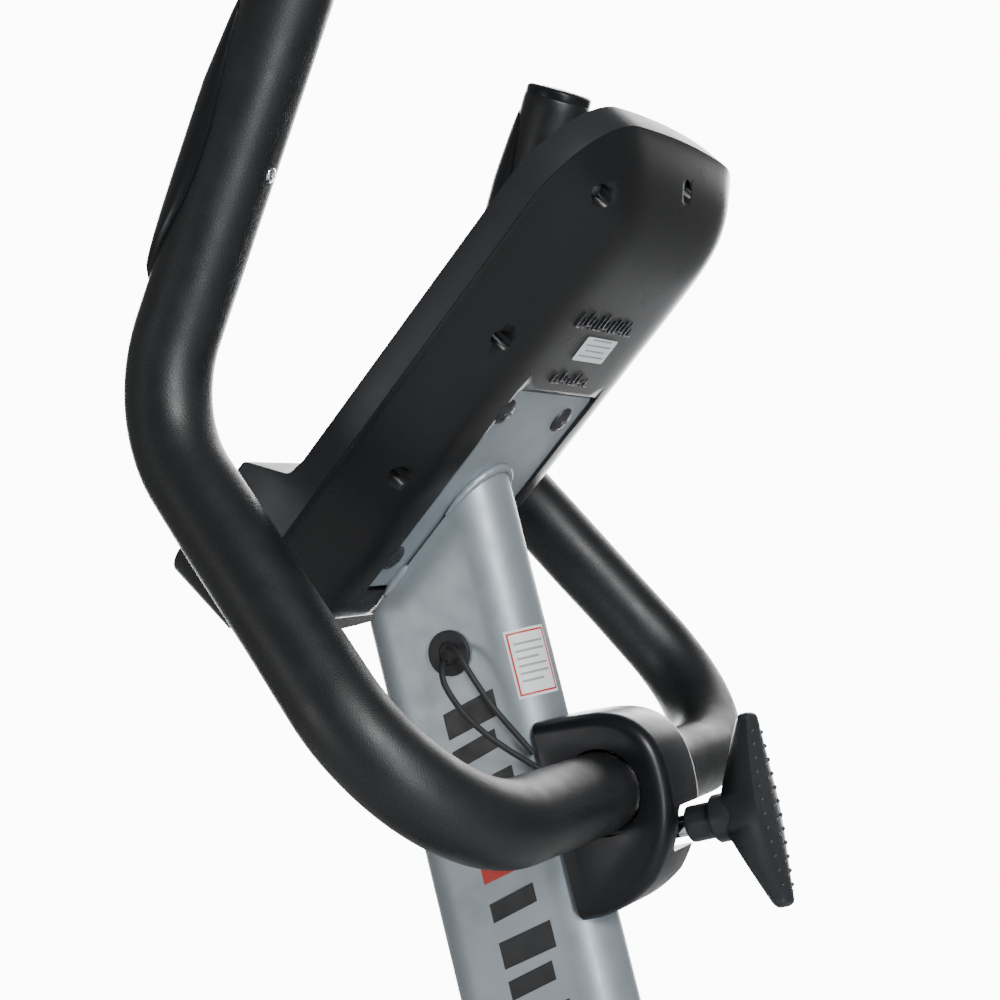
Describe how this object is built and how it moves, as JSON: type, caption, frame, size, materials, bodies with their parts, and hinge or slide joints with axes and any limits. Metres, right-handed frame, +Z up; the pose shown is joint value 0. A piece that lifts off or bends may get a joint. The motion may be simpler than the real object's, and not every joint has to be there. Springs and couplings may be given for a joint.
{
  "type": "exercise bike",
  "caption": "Upright exercise bike: leaning oval mast with tilting foam grips and console, saddle on a sliding post, belt-driven flywheel in a shroud, stabiliser feet.",
  "frame": {"origin": "on the floor, below the middle of the machine's length and width", "axes": "+X forward, to the console's end; +Y to the rider's left; +Z up"},
  "size_m": [1.0196, 0.53, 1.4089],
  "materials": {
    "silver_paint": "metallic silver-grey paint, semi-gloss",
    "black_paint": "black powder coat, satin",
    "chrome": "polished",
    "steel": "machined",
    "iron": "cast, dark",
    "foam": "matte foam with a fine skin",
    "black_plastic": "satin, moulded",
    "shell_plastic": "charcoal, fine moulded texture",
    "grey_plastic": "satin, moulded",
    "rubber": "matte",
    "seat_skin": "grained black cover",
    "lens": "smoked and clear"
  },
  "bodies": {
    "frame": {"base_tube": "silver_paint", "front_stabilizer": "silver_paint", "rear_stabilizer": "silver_paint", "rear_foot_left": "black_plastic", "rear_foot_right": "black_plastic", "front_foot_left": "black_plastic", "front_foot_right": "black_plastic", "seat_tube": "silver_paint", "seat_post_bushing": "black_plastic", "mast_socket": "black_paint", "mast_collar": "black_plastic", "mast": "silver_paint", "grommet": "rubber", "console_plate": "silver_paint", "bar_clamp": "black_paint", "clamp_cover": "black_plastic", "console_back": "shell_plastic", "console_front": "shell_plastic", "display_lens": "lens", "pulse_lead_1": "rubber", "pulse_lead_2": "rubber", "drive_bracket": "black_paint", "drive_belt": "rubber", "idler_arm": "black_paint", "resistance_motor": "black_plastic", "shroud_left": "black_plastic", "shroud_right": "black_plastic"},
    "flywheel_set": {"flywheel": "iron", "flywheel_axle": "steel"},
    "crankset": {"crank_axle": "steel", "drive_pulley": "black_plastic", "crank_arm_left": "iron", "crank_arm_right": "iron", "pedal_axle_left": "steel", "pedal_axle_right": "steel"},
    "idler": {"idler_pulley": "black_plastic"},
    "left_pedal": {"pedal_left": "black_plastic", "pedal_strap_left": "rubber"},
    "right_pedal": {"pedal_right": "black_plastic", "pedal_strap_right": "rubber"},
    "brake": {"brake_magnet_arm": "steel"},
    "seat": {"seat_post": "chrome", "saddle_base": "black_plastic", "saddle_cushion": "seat_skin"},
    "seat_screw": {"seat_height_knob": "black_plastic"},
    "handlebar": {"handlebar_tube": "black_paint", "grip_foam_left": "foam", "grip_foam_right": "foam", "pulse_sensor_left": "black_plastic", "pulse_sensor_right": "black_plastic", "grip_cap_left": "black_plastic", "grip_cap_right": "black_plastic"},
    "clamp_screw": {"clamp_knob": "black_plastic"},
    "left_wheel": {"transport_wheel_left": "rubber"},
    "right_wheel": {"transport_wheel_right": "rubber"},
    "button_1": {"console_button_1": "grey_plastic"},
    "button_2": {"console_button_2": "grey_plastic"},
    "button_3": {"console_button_3": "grey_plastic"},
    "button_4": {"console_button_4": "grey_plastic"},
    "button_5": {"console_button_5": "grey_plastic"}
  },
  "joints": [
    {"name": "flywheel_spin", "type": "hinge", "parent": "frame", "child": "flywheel_set", "pos_m": [0.215, 0, 0.29], "axis": [0, 1, 0], "continuous": true},
    {"name": "crank_spin", "type": "hinge", "parent": "frame", "child": "crankset", "pos_m": [0.02, 0, 0.285], "axis": [0, 1, 0], "continuous": true},
    {"name": "idler_spin", "type": "hinge", "parent": "frame", "child": "idler", "pos_m": [0.15856, -0.021, 0.21525], "axis": [0, 1, 0], "continuous": true},
    {"name": "left_pedal_spin", "type": "hinge", "parent": "crankset", "child": "left_pedal", "pos_m": [-0.13407, 0.15, 0.35685], "axis": [0, 1, 0], "continuous": true},
    {"name": "right_pedal_spin", "type": "hinge", "parent": "crankset", "child": "right_pedal", "pos_m": [0.17407, -0.15, 0.21316], "axis": [0, 1, 0], "continuous": true},
    {"name": "brake_swing", "type": "hinge", "parent": "frame", "child": "brake", "pos_m": [0.145, 0.016, 0.411], "axis": [0, -1, 0], "range_deg": [0, 5]},
    {"name": "seat_height", "type": "slide", "parent": "frame", "child": "seat", "axis": [-0.309, 0, 0.9511], "range_m": [-0.08, 0.12]},
    {"name": "seat_screw_turn", "type": "hinge", "parent": "frame", "child": "seat_screw", "pos_m": [-0.28099, 0, 0.51662], "axis": [-0.9511, 0, -0.309], "range_deg": [0, 360]},
    {"name": "handlebar_tilt", "type": "hinge", "parent": "frame", "child": "handlebar", "pos_m": [0.25, 0, 1.06], "axis": [0, 1, 0], "range_deg": [-25, 15]},
    {"name": "clamp_screw_turn", "type": "hinge", "parent": "frame", "child": "clamp_screw", "pos_m": [0.30435, 0, 1.05158], "axis": [0.9622, 0, 0.2723], "range_deg": [0, 360]},
    {"name": "left_wheel_spin", "type": "hinge", "parent": "frame", "child": "left_wheel", "pos_m": [0.485, 0.2502, 0.0275], "axis": [0, 1, 0], "continuous": true},
    {"name": "right_wheel_spin", "type": "hinge", "parent": "frame", "child": "right_wheel", "pos_m": [0.485, -0.2502, 0.0275], "axis": [0, 1, 0], "continuous": true},
    {"name": "button_1_press", "type": "slide", "parent": "frame", "child": "button_1", "axis": [0.7547, 0, -0.6561], "range_m": [0, 0.001], "stiffness_N_per_m": 800, "springref_m": -0.001},
    {"name": "button_2_press", "type": "slide", "parent": "frame", "child": "button_2", "axis": [0.7547, 0, -0.6561], "range_m": [0, 0.001], "stiffness_N_per_m": 800, "springref_m": -0.001},
    {"name": "button_3_press", "type": "slide", "parent": "frame", "child": "button_3", "axis": [0.7547, 0, -0.6561], "range_m": [0, 0.001], "stiffness_N_per_m": 800, "springref_m": -0.001},
    {"name": "button_4_press", "type": "slide", "parent": "frame", "child": "button_4", "axis": [0.7547, 0, -0.6561], "range_m": [0, 0.001], "stiffness_N_per_m": 800, "springref_m": -0.001},
    {"name": "button_5_press", "type": "slide", "parent": "frame", "child": "button_5", "axis": [0.7547, 0, -0.6561], "range_m": [0, 0.001], "stiffness_N_per_m": 800, "springref_m": -0.001}
  ],
  "couplings": [
    {"joint": "crank_spin", "follows": "flywheel_spin", "ratio": 0.16364},
    {"joint": "idler_spin", "follows": "flywheel_spin", "ratio": -1.2}
  ]
}
